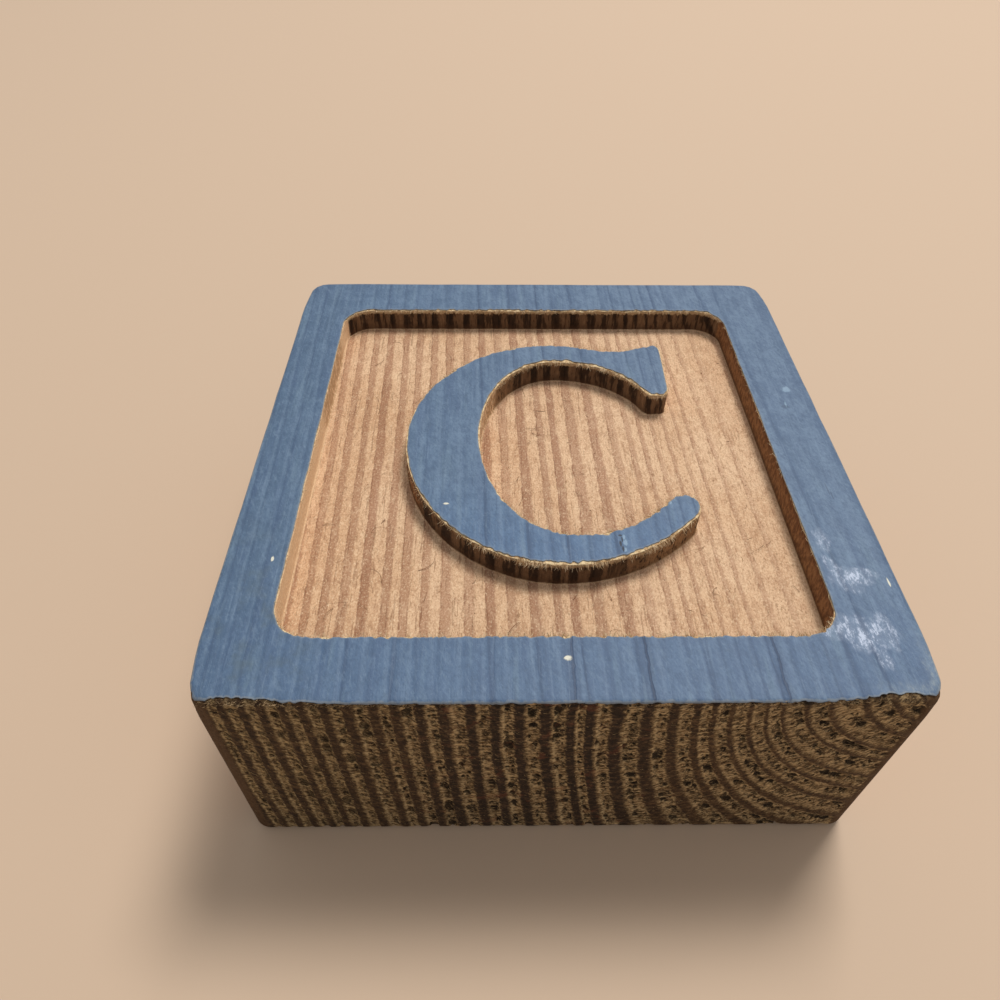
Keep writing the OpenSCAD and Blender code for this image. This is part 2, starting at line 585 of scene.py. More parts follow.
outer_depth = side_depth + (np.maximum(sawn_depth, 0.01) - side_depth) * sawn_share
print(f"relief of the outside {outer_depth.min():.3f} to {outer_depth.max():.3f} mm")

# %% Relief of the routed surfaces, and the push
wall_end = 0.05 + 0.06 * early + 0.06 * noise(points, (0.45, 0.45, 2.5), 31) + 0.03 * fuzz
wall_long = 0.04 + 0.03 * noise(points, (0.6, 3.5, 0.45), 32) + 0.02 * fuzz
wall_depth = wall_long + (wall_end - wall_long) * ease(facing_end, 0.3, 0.8)

nap = noise(points, (0.6, 1.1, 1), 41)
tracks = noise(points, (5, 2.2, 5), 42)
recess_depth = 0.05 + 0.05 * early + 0.045 * nap + 0.03 * fuzz + 0.02 * tracks
top_depth = 0.03 + 0.03 * noise(points, (0.5, 1.2, 1), 43)
base_depth = 0.03 + 0.015 * noise(points, (1, 8, 1), 44)

near_top = ease(points[:, 2], WOOD_TOP - 0.02, WOOD_TOP)
depth = np.select(
    [kind == OUTSIDE, kind == WALL, kind == RECESS, kind == TOPS],
    [outer_depth * (1 - 0.9 * near_top), wall_depth, recess_depth, top_depth],
    base_depth,
)
crumbled = 0.04 + 0.30 * np.maximum(noise(flat(points[:, :2]), (0.55, 1.3, 1), 45), 0)
points = points + push * np.maximum(depth, 0)[:, None]
points[:, 2] -= brink * crumbled
pitted = np.mean(holes[kind == OUTSIDE] > 0.3)
print(f"relief {depth.min():.3f} to {depth.max():.3f} mm, pits on {pitted:.1%} of the outside")

# %% [markdown]
# A mesh attribute carries a number from here to the material. The wood's marks say which
# ring a point lies in, how hollow it lies, which cut made its surface, how squarely that
# surface cuts the grain, where hands made it dark, and which walls face left, away from
# the lamp. The material paints shade into the hollows and onto those walls.

# %% Turn a skin into a piece
def place(name, mesh):
    """Stands a mesh at the origin as a piece of its own."""
    piece = bpy.data.objects.new(name, mesh)
    bpy.context.scene.collection.objects.link(piece)
    mesh.calc_loop_triangles()
    print(name, len(mesh.loop_triangles), "triangles")
    return piece


def make_piece(name, points, faces, marks):
    """A mesh object in metres at the origin, with one float attribute per mark."""
    mesh = bpy.data.meshes.new(name)
    mesh.from_pydata((points / MM).tolist(), [], faces)
    for mark, values in marks.items():
        attribute = mesh.attributes.new(mark, "FLOAT", "POINT")
        attribute.data.foreach_set("value", np.asarray(values, np.float32))
    mesh.shade_smooth()
    mesh.update()
    return place(name, mesh)


sawn_mark = (kind == OUTSIDE) * sawn_share
wall_mark = (kind == WALL) * 1.0
scorched = ease(facing_end, 0.25, 0.6)
# Walls whose push points to +X face left, away from the lamp; this mark gives them painted shade.
shaded = ease(push[:, 0], 0.1, 0.5)
block_wood = make_piece("block_wood", points, wood.faces, {
    "ring": ring,
    "hollow": holes * sawn_mark,
    "sawn": sawn_mark,
    "handled": handled,
    "wall": wall_mark,
    "scorched": scorched * wall_mark,
    "shaded": shaded * wall_mark,
    "routed": (kind == RECESS) * 1.0,
    "torn": (kind == TOPS) * 1.0,
})

# %% [markdown]
# ## The paint
#
# The coat is a thin film that lies on the tops and laps over the sanded outer edge. It
# is a closed shell: upper side, lip and underside. The router tore its inner edge, so
# that edge steps back from the wall by an amount that follows the fibres: quick changes
# where the wall cuts the grain, long slow ones where it runs along it. A strip of bare
# wood shows between the two. On the letter's lower left the cutter left a cleaner edge,
# so less is bare there.

# %% How far the torn paint edge steps back
LIP_SPACING = 0.24
FILM_CLEARANCE = 0.004
UNDER = WOOD_TOP + 0.005


def clean_part(loop):
    """1 along the letter's lower left, where the cutter left a clean edge, 0 elsewhere."""
    return ease(-loop[:, 0], 2, 14) * ease(-loop[:, 1], -5, 8)


def step_back(loop, normal, side):
    """Distance in mm from the routed edge back to the edge of the paint."""
    places = flat(loop)
    cross = np.abs(normal[:, 1])
    torn = 0.5 + 0.5 * noise(places, (0.34, 2.2, 1), 51 + side)
    slivers = np.maximum(noise(places, (0.7, 5, 1), 53 + side), 0)
    facing_away = ease(side * normal[:, 1], -0.2, 0.9)
    base = 0.05 + 0.22 * torn + 0.30 * slivers
    far_edge = 0.10 * facing_away + 0.01 * (1 - cross)
    if side < 0:
        far_edge = (0.20 * facing_away + 0.14 * (1 - cross)) * (1 - 0.7 * clean_part(loop))
    return np.clip(base * (0.45 + 0.75 * cross) + far_edge, 0.03, 0.95)


recess_lip, recess_out = walk(recess_outline, LIP_SPACING)
letter_lip, letter_out = walk(letter_outline, LIP_SPACING)
recess_back = step_back(recess_lip, recess_out, 1)
letter_back = step_back(letter_lip, letter_out, -1)
print(f"bare strip {recess_back.mean():.2f} mm on the recess, {letter_back.mean():.2f} mm on the letter")

# %% Relief of the paint film
GRAIN_SLANT = 0.03


def film_relief(points):
    """How far the film dips: brushed grain, open pores and sunk early wood."""
    slanted = points.copy()
    slanted[:, 0] = slanted[:, 0] + GRAIN_SLANT * slanted[:, 1]
    grain = 0.5 + 0.5 * noise(slanted, (0.45, 9, 1), 61)
    pores = np.maximum(noise(slanted, (0.5, 2.4, 1), 62) - 0.45, 0)
    sunk = 1 - late_share(ring_index(points))
    return 0.012 + 0.018 * grain + 0.06 * pores + 0.012 * sunk


# %% The coat's lap over the worn outer edge
FULL_LAP, FRONT_LAP = 60, 64
LEAST_LAP, MOST_LAP = 3, 82
coat = Skin()


def coat_row(loop, normal, inset, height):
    points = loop - np.reshape(inset, (-1, 1)) * normal
    return coat.row(np.column_stack([points, np.broadcast_to(height, len(points))]), DOWN, TOPS)


def lap_angle(loop):
    """How far over the rounded outer edge the paint laps, in degrees, least at worn corners."""
    x = loop[:, 0]
    at_front = ease(-loop[:, 1], HALF_D - 6, HALF_D - 1)
    ragged = 0.5 * noise(flat(loop), (1.1, 1.1, 1), 55) + 0.7 * noise(flat(loop), (0.4, 0.4, 1), 56)
    worn_off = 20 * ease(x, 20, 33) + 34 * ease(x, 32, 38) + 46 * ease(-x, 24, 39)
    worn_off = worn_off * (1 - 0.6 * ease(np.abs(x), HALF_W - 4.2, HALF_W - 1.3))
    angle = FULL_LAP + 8 * ragged
    front_angle = FRONT_LAP - worn_off + (17 - 0.12 * worn_off) * ragged
    return np.clip(angle + at_front * (front_angle - angle), LEAST_LAP, MOST_LAP)


def lap_row(share, lift):
    """A ring on the lapped edge, at a share of its angle and a lift above the wood."""
    angle = np.radians(lap * share)
    reach = worn + lift
    inset = worn - reach * np.sin(angle)
    height = WOOD_TOP - worn + reach * np.cos(angle)
    return coat_row(outer_loop, outer_normal, np.maximum(inset, 0.0), np.minimum(height, TOP))


lap = lap_angle(outer_loop)
lap_rows = [coat_row(outer_loop, outer_normal, FLAT_EDGE, TOP)]
lap_rows += [lap_row(share, COAT) for share in (0, 0.25, 0.5, 0.75, 0.95)]
lap_rows += [lap_row(1.0, COAT * 0.6), lap_row(1.0, 0.0)]
lap_end = lap_rows[-1]
lap_rows += [lap_row(share, FILM_CLEARANCE) for share in (0.6, 0.3, 0)]
lap_rows += [coat_row(outer_loop, outer_normal, FLAT_EDGE, UNDER)]
coat.band(lap_rows, outward=True)
print(f"the paint laps {lap.min():.0f} to {lap.max():.0f} degrees over the edge")

# %% The coat on the border
UPPER_LIP = [(0.9, 0.0), (0.4, 0.0), (0.12, 0.005), (0.02, 0.02), (0.0, 0.08)]
LIP_PROFILE = [(further, TOP - drop) for further, drop in UPPER_LIP] + [(0.02, UNDER), (0.9, UNDER)]
FILM_GRID = (0.27, 0.6)
FILM_MARGIN, LIP_MARGIN = 0.3, 0.25
NO_GRID = np.empty((0, 2))


def lip_band(loop, away, back, outward):
    """The torn inner edge of the film, from its upper side round to its underside."""
    rows = [coat_row(loop, -away, back + further, height) for further, height in LIP_PROFILE]
    coat.band(rows, outward=outward)
    return rows[0], rows[-1]


lip_top, lip_under = lip_band(recess_lip, recess_out, recess_back, outward=False)
all_points = np.concatenate(coat.points)
film_border = all_points[lap_rows[0], :2] - FILM_MARGIN * outer_normal
film_gap = all_points[lip_top, :2] + LIP_MARGIN * recess_out
film_grid = grid_inside(film_border, [film_gap], *FILM_GRID)
coat.fill([lap_rows[0], lip_top], film_grid, TOP, DOWN, TOPS)
coat.fill([lap_rows[-1], lip_under], NO_GRID, UNDER, DOWN, TOPS, up=False)
print("border coat:", coat.count, "points")

# %% Push the film down by its relief
def finish_coat(name, skin, loops):
    """Turns a coat's skin into a piece whose upper side carries the relief."""
    points = np.concatenate(skin.points)
    upper = ease(points[:, 2], WOOD_TOP + 0.04, WOOD_TOP + 0.13)
    points[:, 2] -= upper * film_relief(points)
    return make_piece(name, points, skin.faces, {
        "ring": ring_index(points),
        "edge": edge_distance(points, loops),
    })


def edge_distance(points, loops):
    """Distance in mm from each point to the nearest of some outlines."""
    nearest = np.full(len(points), 99.0)
    for loop in loops:
        for part in portions(points, loop):
            gap = points[part, None, :2] - loop[None, :, :]
            nearest[part] = np.minimum(nearest[part], np.sqrt((gap ** 2).sum(axis=2)).min(axis=1))
    return nearest


torn_recess = recess_lip + recess_back[:, None] * recess_out
torn_letter = letter_lip - letter_back[:, None] * letter_out
border_coat = finish_coat("border_coat", coat, [torn_recess, all_points[lap_end, :2]])

# %% The coat on the letter
coat = Skin()
lip_top, lip_under = lip_band(letter_lip, -letter_out, letter_back, outward=True)
all_points = np.concatenate(coat.points)
film_grid = grid_inside(all_points[lip_top, :2] - LIP_MARGIN * letter_out, [], *FILM_GRID)
coat.fill([lip_top], film_grid, TOP, DOWN, TOPS)
coat.fill([lip_under], NO_GRID, UNDER, DOWN, TOPS, up=False)
letter_coat = finish_coat("letter_coat", coat, [torn_letter])

# %% [markdown]
# ## Node graphs as expressions
#
# Materials and Geometry Nodes are both graphs, and long sums are hard to read as a
# graph. Wire wraps one socket and adds a Math node for each operator, so a mask can be
# written as `1 - mask * 0.5`. Graph has one method that makes any other node.

# %% Wire and Graph
class Wire:
    """An output socket with arithmetic."""

    def __init__(self, graph, socket):
        self.graph = graph
        self.socket = socket

    def maths(self, operation, *values):
        return self.graph.node("ShaderNodeMath", {"operation": operation}, list(values))

    def __add__(self, other):
        return self.maths("ADD", self, other)

    __radd__ = __add__

    def __sub__(self, other):
        return self.maths("SUBTRACT", self, other)

    def __rsub__(self, other):
        return self.maths("SUBTRACT", other, self)

    def __mul__(self, other):
        return self.maths("MULTIPLY", self, other)

    __rmul__ = __mul__

    def __truediv__(self, other):
        return self.maths("DIVIDE", self, other)

    def larger(self, other):
        return self.maths("MAXIMUM", self, other)

    def whole(self):
        return self.maths("FLOOR", self)

    def fraction(self):
        return self.maths("FRACT", self)

    def size(self):
        return self.maths("ABSOLUTE", self)

    def ease(self, start, end):
        """Smooth step from 0 at start to 1 at end."""
        sockets = {"Value": self, "From Min": start, "From Max": end}
        return self.graph.node("ShaderNodeMapRange", {"interpolation_type": "SMOOTHSTEP"}, sockets)


class Graph:
    """The nodes of one tree."""

    def __init__(self, tree):
        self.tree = tree
        tree.nodes.clear()

    def node(self, kind, settings, sockets, output=0):
        """Adds a node: its settings first, then the values or links of its sockets."""
        node = self.tree.nodes.new(kind)
        for setting, value in settings.items():
            setattr(node, setting, value)
        pairs = enumerate(sockets) if isinstance(sockets, list) else sockets.items()
        for key, value in pairs:
            if isinstance(value, Wire):
                self.tree.links.new(value.socket, node.inputs[key])
            else:
                node.inputs[key].default_value = value
        return Wire(self, node.outputs[output]) if node.outputs else None


print("sockets become expressions through", Wire.__name__, "and", Graph.__name__)

# %% [markdown]
# ## Torn fibres
#
# Wood is a bundle of fibres, and each cut left loose ends: a cream fringe along the
# routed edges, short fuzz on the sawn ends, tufts under the paint's front edge, and a
# short nap with a few long hairs on the floor of the recess. They are thousands of small
# bent tapers that follow a surface, which is what Geometry Nodes are for.
#
# One tree serves them all. It scatters points on a carrier mesh, whose attributes say how
# thickly to strew and which way the fibres lie, and puts a three-sided taper on each.

# %% The tree that lays fibres
FIBRE_INPUTS = {
    "Carrier": "NodeSocketGeometry",
    "Fibres per square metre": "NodeSocketFloat",
    "Length": "NodeSocketFloat",
    "Thickness": "NodeSocketFloat",
    "Bend": "NodeSocketFloat",
    "Segments": "NodeSocketInt",
    "Scatter": "NodeSocketFloat",
    "Seed": "NodeSocketInt",
    "Finish": "NodeSocketMaterial",
}


def fibre_tree():
    """Geometry Nodes that lay bent, tapered fibres on a carrier mesh."""
    tree = bpy.data.node_groups.new("lay_fibres", "GeometryNodeTree")
    for name, socket in FIBRE_INPUTS.items():
        tree.interface.new_socket(name, in_out="INPUT", socket_type=socket)
    tree.interface.new_socket("Fibres", in_out="OUTPUT", socket_type="NodeSocketGeometry")
    g = Graph(tree)
    given = {name: g.node("NodeGroupInput", {}, {}, name) for name in FIBRE_INPUTS}

    def chance(low, high, extra):
        sockets = {2: low, 3: high, "Seed": given["Seed"] + extra}
        return g.node("FunctionNodeRandomValue", {"data_type": "FLOAT"}, sockets, 1)

    share = g.node("GeometryNodeInputNamedAttribute", {"data_type": "FLOAT"}, {"Name": "share"})
    lay = g.node("GeometryNodeInputNamedAttribute", {"data_type": "FLOAT_VECTOR"}, {"Name": "lay"})
    points = g.node("GeometryNodeDistributePointsOnFaces", {}, {
        "Mesh": given["Carrier"],
        "Density": given["Fibres per square metre"] * share,
        "Seed": given["Seed"],
    })
    spine = g.node("GeometryNodeCurveQuadraticBezier", {}, {
        "Resolution": given["Segments"],
        "Start": (0, 0, 0),
        "Middle": g.node("ShaderNodeCombineXYZ", {}, [given["Bend"], 0.0, 0.5]),
        "End": (0, 0, 1),
    })
    along = g.node("GeometryNodeSplineParameter", {}, {})
    girth = given["Thickness"] / given["Length"]
    ring = g.node("GeometryNodeCurvePrimitiveCircle", {}, {"Resolution": 3, "Radius": girth})
    fibre = g.node("GeometryNodeCurveToMesh", {}, {
        "Curve": spine,
        "Profile Curve": ring,
        "Scale": 1 - 0.8 * along,
        "Fill Caps": True,
    })
    stray = g.node("FunctionNodeRandomValue", {"data_type": "FLOAT_VECTOR"}, {
        "Min": (-1, -1, -1), "Max": (1, 1, 1), "Seed": given["Seed"] + 1,
    })
    stray = g.node("ShaderNodeVectorMath", {"operation": "SCALE"}, {0: stray, 3: given["Scatter"]})
    heading = g.node("ShaderNodeVectorMath", {"operation": "ADD"}, [lay, stray])
    roll = g.node("ShaderNodeCombineXYZ", {}, [0.0, 0.0, chance(0.0, 6.28, 2)])
    turn = g.node("FunctionNodeEulerToRotation", {}, {"Euler": roll})
    turn = g.node("FunctionNodeAlignRotationToVector", {"axis": "Z"}, {"Rotation": turn, "Vector": heading})
    size = given["Length"] * chance(0.4, 1.0, 3)
    scale = g.node("ShaderNodeCombineXYZ", {}, [size, size, size])
    laid = g.node("GeometryNodeInstanceOnPoints", {}, {
        "Points": points, "Instance": fibre, "Rotation": turn, "Scale": scale,
    })
    real = g.node("GeometryNodeRealizeInstances", {}, {"Geometry": laid})
    dressed = g.node("GeometryNodeSetMaterial", {}, {"Geometry": real, "Material": given["Finish"]})
    g.node("NodeGroupOutput", {}, {"Fibres": dressed})
    return tree


lay_fibres = fibre_tree()
print("fibre tree:", len(lay_fibres.nodes), "nodes")

# %% [markdown]
# ## Finishes
#
# A finish is a material with ways to vary over a surface: noise whose features have a
# size in millimetres, the marks that a mesh carries, and ovals for single flaws. Its
# colours are laid on like glazes, each over a share of what lies beneath.

# %% Materials as graphs
def srgb(red, green, blue):
    """A colour as seen on screen, from 0 to 255, as Blender's linear colour."""
    parts = [part / 255 for part in (red, green, blue)]
    return tuple(p / 12.92 if p <= 0.04045 else ((p + 0.055) / 1.055) ** 2.4 for p in parts) + (1.0,)


class Finish(Graph):
    """One material, its object coordinates in mm and its ways to vary over a surface."""

    def __init__(self, name):
        self.material = bpy.data.materials.new(name)
        self.material.use_nodes = True
        super().__init__(self.material.node_tree)
        place = self.node("ShaderNodeTexCoord", {}, {}, "Object")
        self.place = self.vector("SCALE", {0: place, 3: MM})
        self.x, self.y, self.z = [self.node("ShaderNodeSeparateXYZ", {}, [self.place], k) for k in range(3)]

    def vector(self, operation, sockets, output=0):
        return self.node("ShaderNodeVectorMath", {"operation": operation}, sockets, output)

    def mark(self, name):
        """A number that the mesh carries."""
        return self.node("ShaderNodeAttribute", {"attribute_name": name}, {}, "Fac")

    def speckle(self, size, detail=2.0, rough=0.5, place=None):
        """Noise from 0 to 1 whose features have the given size in mm along X, Y and Z."""
        spot = self.vector("MULTIPLY", [place or self.place, [1 / part for part in size]])
        sockets = {"Vector": spot, "Scale": 1.0, "Detail": detail, "Roughness": rough}
        return self.node("ShaderNodeTexNoise", {}, sockets)

    def per_ring(self, ring):
        """A number from 0 to 1 that is the same all through one growth ring."""
        return self.node("ShaderNodeTexWhiteNoise", {"noise_dimensions": "1D"}, {"W": ring.whole()})

    def spot(self, x, y, half_x, half_y, ragged):
        """1 in the middle of a ragged oval on the top and 0 outside it."""
        away = self.vector("SUBTRACT", [self.place, (x, y, 0)])
        scaled = self.vector("MULTIPLY", [away, (1 / half_x, 1 / half_y, 0)])
        far = self.vector("LENGTH", [scaled], "Value")
        far = far + ragged * (self.speckle((half_x, half_y, 1), 3, 0.6) - 0.5)
        return 1 - far.ease(0.55, 1.0)

    def spots(self, ovals, ragged):
        """The spots of a list of ovals, added up."""
        return sum(self.spot(*oval, ragged) for oval in ovals)

    def blend(self, share, first, second):
        """Mixes two colours."""
        return self.node("ShaderNodeMix", {"data_type": "RGBA"}, {0: share, 6: first, 7: second}, 2)

    def glaze(self, colour, layers):
        """Lays colours over a colour, one after another, each with its own share."""
        for share, tint in layers:
            colour = self.blend(share, colour, srgb(*tint))
        return colour

    def bump(self, height, strength, distance_mm):
        sockets = {"Strength": strength, "Distance": distance_mm / MM, "Height": height}
        return self.node("ShaderNodeBump", {}, sockets)

    def surface(self, sockets):
        """The shader itself, and the end of the material."""
        shader = self.node("ShaderNodeBsdfPrincipled", {}, sockets)
        self.node("ShaderNodeOutputMaterial", {}, {"Surface": shader})
        return self.material


print("the paint's colour in linear light:", [round(part, 3) for part in srgb(100, 122, 150)])

# %% [markdown]
# ## The finish of the wood
#
# One material covers the block. The ring index gives the bands everywhere, and each cut
# then shows them in its own colours. They are tan and pinkish on the routed floor, and
# dark brown on the walls, where the cutter's heat and open pores darken the end grain.
# Walls that face left, away from the lamp, are a darker brown with painted shade, and
# the feet of the walls and the pits of the sawn ends are darkened as painted shade.
# The old sawn ends are dull olive brown, the sanded sides show long fine grain, and the
# corners that hands held are grimy.

# %% Patterns that all cuts of the wood share
def wood_patterns(f):
    """Gives a finish the rings and the several grains of noise that the cuts use."""
    edge_noise = f.speckle((0.5, 1.4, 0.7), 3, 0.65) - 0.5
    wander = f.speckle((2.2, 7.0, 2.2), 2) - 0.5
    ring = f.mark("ring") + 0.16 * wander + 0.2 * edge_noise - SHARP_SIDE
    f.phase = ring.fraction()
    f.ring_tone = f.per_ring(ring)
    f.begin = 0.42 + 0.2 * ring.ease(14, 7)
    f.late = f.phase.ease(f.begin, f.begin + 0.16) * (1 - f.phase.ease(0.93, 1.0))
    f.rim_line = f.phase.ease(0.84, 0.92) * (1 - f.phase.ease(0.95, 1.0))
    f.swept = f.node("ShaderNodeCombineXYZ", {}, [f.x, f.y, f.z - f.x * f.x * 0.009])
    f.strokes = f.speckle((1.1, 0.8, 0.27), 3, 0.65, f.swept)
    f.tufts = f.speckle((0.6, 0.5, 0.42), 3, 0.65, f.swept)
    f.smear = f.speckle((0.8, 0.8, 0.5), 3, 0.75, f.swept)
    f.grit = f.speckle((0.22, 0.34, 0.22), 3, 0.75)
    f.hair = f.speckle((0.35, 1.6, 0.3), 3, 0.7)
    f.long_grain = f.speckle((0.5, 16.0, 0.42), 4, 0.7)
    f.broad = f.speckle((12, 16, 12), 2)


# %% Colour of the routed floor
def floor_colour(f):
    """Tan and pinkish bands that fade to the right, with dark hairs and a pale nap."""
    broad = f.broad.ease(0.3, 0.7)
    early = f.blend(broad, srgb(215, 175, 138), srgb(227, 191, 156))
    late = f.blend(broad, srgb(160, 116, 88), srgb(178, 134, 106))
    fade = 1 - 0.4 * f.x.ease(4, 28)
    cloud = f.speckle((1.1, 2.2, 1.1), 3, 0.6)
    threads = f.speckle((0.28, 7.0, 0.3), 2, 0.5).ease(0.6, 0.68) * (1 - 0.5 * f.x.ease(0, 25))
    return f.glaze(f.blend(f.late * (0.6 + 0.4 * f.ring_tone) * fade, early, late), [
        (f.x.ease(-25, 5) * 0.07, (255, 232, 206)),
        (f.rim_line * f.hair.ease(0.4, 0.6) * 0.6 * fade, (134, 92, 66)),
        (cloud.ease(0.5, 0.7) * 0.4, (176, 132, 100)),
        (cloud.ease(0.48, 0.3) * 0.3, (238, 206, 170)),
        (f.hair.ease(0.52, 0.68) * 0.4, (138, 96, 68)),
        (threads * 0.5, (124, 82, 56)),
        (f.grit.ease(0.48, 0.68) * 0.5, (152, 108, 80)),
        (f.grit.ease(0.48, 0.28) * 0.6, (252, 226, 192)),
    ])


# %% Colour of the routed walls
def wall_colour(f):
    """Dark end grain, long grain as a lit tan copy and as a brown copy with painted shade on walls facing
    left, away from the lamp, and a frayed upper edge.
    """
    ribs = f.speckle((0.75, 0.75, 5.0), 3, 0.65)
    chips = f.speckle((0.5, 0.5, 1.1), 3, 0.7)
    on_letter = 1 - f.x.size().ease(28, 32)
    end_grain = f.glaze(f.blend(f.late, srgb(116, 88, 64), srgb(58, 41, 29)), [
        (ribs.ease(0.5, 0.62) * 0.75, (34, 22, 14)),
        (ribs.ease(0.46, 0.32) * 0.5, (150, 118, 88)),
        (chips.ease(0.5, 0.7) * 0.35, (74, 50, 32)),
        # Darker towards the floor at the wall's foot: painted shade in the crease.
        (f.z.ease(FLOOR + 1.3, FLOOR + 0.1) * 0.45, (92, 60, 36)),
    ])
    # Painted shade: the long grain on walls that face left, away from the lamp, as a darker brown copy.
    shaded_long_grain = f.glaze(f.blend(chips.ease(0.35, 0.65), srgb(158, 114, 76), srgb(108, 72, 46)), [
        (f.z.ease(TOP - 1.6, TOP - 0.3) * 0.55, (92, 56, 36)),
        # Darker towards the top, and at the foot by the floor as painted shade.
        (f.z.ease(FLOOR + 0.9, FLOOR + 0.1) * 0.5, (70, 44, 28)),
    ])
    # The lit copy of the same long grain, on walls that face right, towards the lamp.
    lit_long_grain = f.glaze(f.blend(f.grit.ease(0.4, 0.75), srgb(246, 212, 172), srgb(216, 174, 132)), [
        (chips.ease(0.42, 0.6) * 0.6 * on_letter, (150, 108, 74)),
    ])
    # The shaded mark picks the painted-shade copy on walls that face left.
    colour = f.blend(f.mark("shaded"), lit_long_grain, shaded_long_grain)
    colour = f.blend((f.mark("scorched") + 0.7 * (chips - 0.5)).ease(0.25, 0.75), colour, end_grain)
    under_tail = f.x.ease(5, 17) * f.y.ease(0, -10) * on_letter
    soft_inside = f.x.ease(-3, -9) * f.y.ease(4, 9) * f.y.ease(29, 25)
    frayed = (f.z.ease(TOP - 1.5, TOP - 0.2) + 1.9 * (chips - 0.5)).ease(0.42, 0.75)
    frayed = frayed * f.mark("scorched") * (1 - 0.6 * f.x.ease(-3, -14) * f.y.ease(2, -8))
    return f.glaze(colour, [
        (under_tail * chips.ease(0.36, 0.54) * 0.78, (170, 132, 94)),
        (soft_inside * chips.ease(0.36, 0.54) * 0.75, (172, 134, 96)),
        (frayed * 0.75, (200, 170, 130)),
    ])


# %% Colour of the sawn ends
def end_colour(f):
    """Olive brown bands, darkest in the middle, with pits darkened as painted shade, a painted highlight on
    each band's ridge, torn fibres and rust.
    """
    middle = 1 - (f.x + 3).size().ease(8, 24)
    left_part = f.x.ease(-12, -30)
    right_part = f.x.ease(6, 20)
    ragged = f.phase + 0.3 * (f.speckle((0.9, 0.8, 0.55), 3, 0.65) - 0.5)
    late_part = ragged.ease(f.begin, f.begin + 0.2) * (1 - ragged.ease(0.90, 1.02))

    pale = f.blend(left_part, srgb(195, 164, 120), srgb(180, 152, 108))
    pale = f.blend(right_part * 0.6, pale, srgb(208, 176, 130))
    dull = f.blend(left_part, srgb(112, 86, 55), srgb(104, 80, 52))
    early = f.glaze(f.blend(f.strokes.ease(0.38, 0.62), dull, pale), [
        (f.tufts.ease(0.49, 0.62) * 0.8, (50, 34, 21)),
        (f.tufts.ease(0.43, 0.3) * 0.5, (188, 160, 124)),
    ])
    late = f.blend(middle, srgb(76, 54, 34), srgb(52, 38, 27))
    late = f.blend(left_part * 0.7, late, srgb(60, 43, 28))
    smeared = f.blend(middle, srgb(122, 94, 64), srgb(94, 70, 50))
    late = f.blend(f.smear.ease(0.5, 0.64) * (0.8 - 0.3 * left_part), late, smeared)
    late = f.blend(f.smear.ease(0.46, 0.36) * 0.7, late, srgb(30, 20, 13))

    # A pale line along the raised ridge at the edge of each late band: a painted highlight on that ridge.
    line = ragged.ease(f.begin - 0.14, f.begin - 0.06) * (1 - ragged.ease(f.begin - 0.02, f.begin + 0.06))
    f.line = line * (1 - 0.75 * right_part) * (1 - 0.3 * left_part) * (0.35 + 0.65 * f.ring_tone)
    f.pit = end_pits(f, ragged)
    rubbed = f.z.ease(TOP - 1.4, TOP - 0.5) * (f.x - 3).size().ease(24, 36)
    rust = f.speckle((3.0, 3.0, 2.2), 3, 0.6).ease(0.58, 0.72) * middle
    return f.glaze(f.blend(late_part, early, late), [
        # The painted highlight on each band's ridge.
        (f.line * f.strokes.ease(0.34, 0.52) * 0.85, (206, 178, 134)),
        # Near-black in the pits, tears and gaps under the paint: painted shade in these hollows.
        (f.pit * (1 - 0.25 * left_part) * 0.92, (24, 15, 9)),
        (rubbed * (0.2 + 0.3 * f.strokes), (66, 48, 32)),
        (rust * 0.35, (128, 72, 48)),
    ])


def end_pits(f, ragged):
    """1 in the pits of the mesh, in small tears of the early wood and in gaps under the paint, the hollows
    that get painted shade.
    """
    open_wood = ragged.ease(-0.04, 0.04) * (1 - ragged.ease(f.begin - 0.16, f.begin - 0.04))
    tears = open_wood * f.speckle((0.8, 0.7, 0.55), 2, 0.6, f.swept).ease(0.54, 0.62) * 0.8
    gaps = f.speckle((1.3, 1.3, 0.8), 3, 0.6).ease(0.46, 0.56)
    under_paint = f.z.ease(TOP - 1.6, TOP - 0.7) * gaps * (1 - 0.6 * f.x.size().ease(27, 36))
    return f.mark("hollow").ease(0.15, 0.5).larger(tears).larger(under_paint)


# %% Colour of the sanded sides
def side_colour(f):
    """Long fine grain; the rings run along the left side, so they show less there."""
    left_side = f.x.ease(-20, -40)
    return f.glaze(srgb(196, 158, 116), [
        (f.late * (0.65 - 0.45 * left_side), (156, 113, 78)),
        (f.rim_line * (0.5 - 0.35 * left_side), (128, 86, 56)),
        (f.long_grain.ease(0.5, 0.66) * 0.5, (138, 98, 66)),
        (f.long_grain.ease(0.46, 0.3) * 0.4, (214, 178, 134)),
        (f.hair.ease(0.5, 0.8) * 0.35, (120, 88, 62)),
        (f.broad.ease(0.35, 0.75) * 0.3, (140, 112, 84)),
    ])


